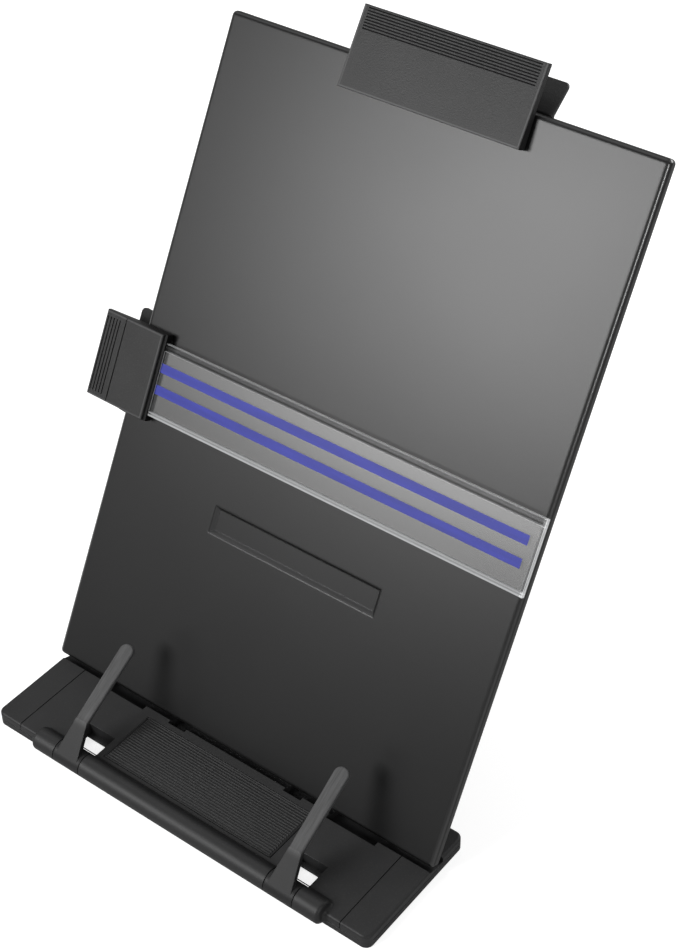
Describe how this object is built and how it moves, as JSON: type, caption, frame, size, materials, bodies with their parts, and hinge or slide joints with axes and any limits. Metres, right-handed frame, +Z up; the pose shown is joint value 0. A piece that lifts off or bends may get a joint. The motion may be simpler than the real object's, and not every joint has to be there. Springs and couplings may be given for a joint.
{
  "type": "desk copy holder with line guide",
  "caption": "Leaning steel copy board on a moulded base, with page arms, a page clip, a folding rear leg and a sliding clear line guide.",
  "frame": {"origin": "on the desk, straight below the board's tilt axis, half-way along the base: the middle of the rear rubber strip's underside", "axes": "+Z up from the desk; +Y from the reader towards the back; +X to the reader's right, along the tilt axis"},
  "size_m": [0.2899, 0.2641, 0.3622],
  "materials": {
    "base_plastic": "moulded, fine matt grain",
    "cover_plastic": "moulded, plain matt",
    "arm_plastic": "moulded, fine satin grain",
    "clip_plastic": "moulded, fine satin grain",
    "pad_rubber": "ribbed, matt",
    "foot_rubber": "matt",
    "bush_nylon": "natural nylon",
    "bright_steel": "zinc plated",
    "board_paint": "satin black powder coat",
    "leg_paint": "satin black",
    "clear_acrylic": "clear, lightly frosted panel",
    "stripe_blue": "printed blue"
  },
  "bodies": {
    "base": {"base_shelf": "base_plastic", "bottom_cover": "cover_plastic", "rubber_strips": "foot_rubber", "base_screws": "bright_steel", "ribbed_pad": "pad_rubber", "hinge_rod": "bright_steel", "left_end_cap": "base_plastic", "right_end_cap": "base_plastic", "left_arm_rod": "bright_steel", "right_arm_rod": "bright_steel"},
    "left_arm": {"left_page_arm": "arm_plastic", "left_arm_bush": "bush_nylon"},
    "right_arm": {"right_page_arm": "arm_plastic", "right_arm_bush": "bush_nylon"},
    "board": {"board_panel": "board_paint", "hinge_rivets": "bright_steel", "leg_bracket": "leg_paint", "leg_pin": "bright_steel", "left_hinge_bracket": "leg_paint", "right_hinge_bracket": "leg_paint", "left_friction_washer": "bush_nylon", "right_friction_washer": "bush_nylon"},
    "leg": {"rear_leg": "leg_paint", "leg_foot": "foot_rubber"},
    "clip_carrier": {"clip_back": "clip_plastic", "clip_pin": "bright_steel", "clip_spring": "bright_steel"},
    "clip_jaw": {"clip_jaw": "clip_plastic", "clip_grip_pad": "pad_rubber"},
    "guide_carrier": {"guide_back": "clip_plastic", "guide_pin": "bright_steel", "guide_spring": "bright_steel"},
    "guide_jaw": {"guide_jaw": "clip_plastic", "guide_grip_pad": "pad_rubber", "ruler_socket": "clip_plastic", "line_guide": "clear_acrylic", "guide_stripes": "stripe_blue"}
  },
  "joints": [
    {"name": "board_tilt", "type": "hinge", "parent": "base", "child": "board", "pos_m": [0, 0, 0.006], "axis": [1, 0, 0], "range_deg": [-60, 12]},
    {"name": "leg_swing", "type": "hinge", "parent": "board", "child": "leg", "pos_m": [-0.0019, 0.05599, 0.10759], "axis": [1, 0, 0], "range_deg": [-24, 120]},
    {"name": "left_arm_turn", "type": "hinge", "parent": "base", "child": "left_arm", "pos_m": [-0.0721, -0.0622, 0.008], "axis": [1, 0, 0], "range_deg": [-10, 100]},
    {"name": "right_arm_turn", "type": "hinge", "parent": "base", "child": "right_arm", "pos_m": [0.0765, -0.0622, 0.008], "axis": [1, 0, 0], "range_deg": [-10, 100]},
    {"name": "clip_slide", "type": "slide", "parent": "board", "child": "clip_carrier", "axis": [1, 0, 0], "range_m": [-0.07, 0.07]},
    {"name": "clip_open", "type": "hinge", "parent": "clip_carrier", "child": "clip_jaw", "pos_m": [0.0013, 0.17633, 0.34391], "axis": [1, 0, 0], "range_deg": [-10, 0], "stiffness_Nm_per_rad": 0.3, "springref_deg": 20.05},
    {"name": "guide_slide", "type": "slide", "parent": "board", "child": "guide_carrier", "axis": [0, 0.4827, 0.8758], "range_m": [-0.09, 0.15]},
    {"name": "guide_open", "type": "hinge", "parent": "guide_carrier", "child": "guide_jaw", "pos_m": [-0.13915, 0.07729, 0.16419], "axis": [0, 0.4827, 0.8758], "range_deg": [-6, 0], "stiffness_Nm_per_rad": 0.3, "springref_deg": 20.05}
  ],
  "couplings": [
    {"joint": "leg_swing", "follows": "board_tilt", "ratio": -2}
  ]
}
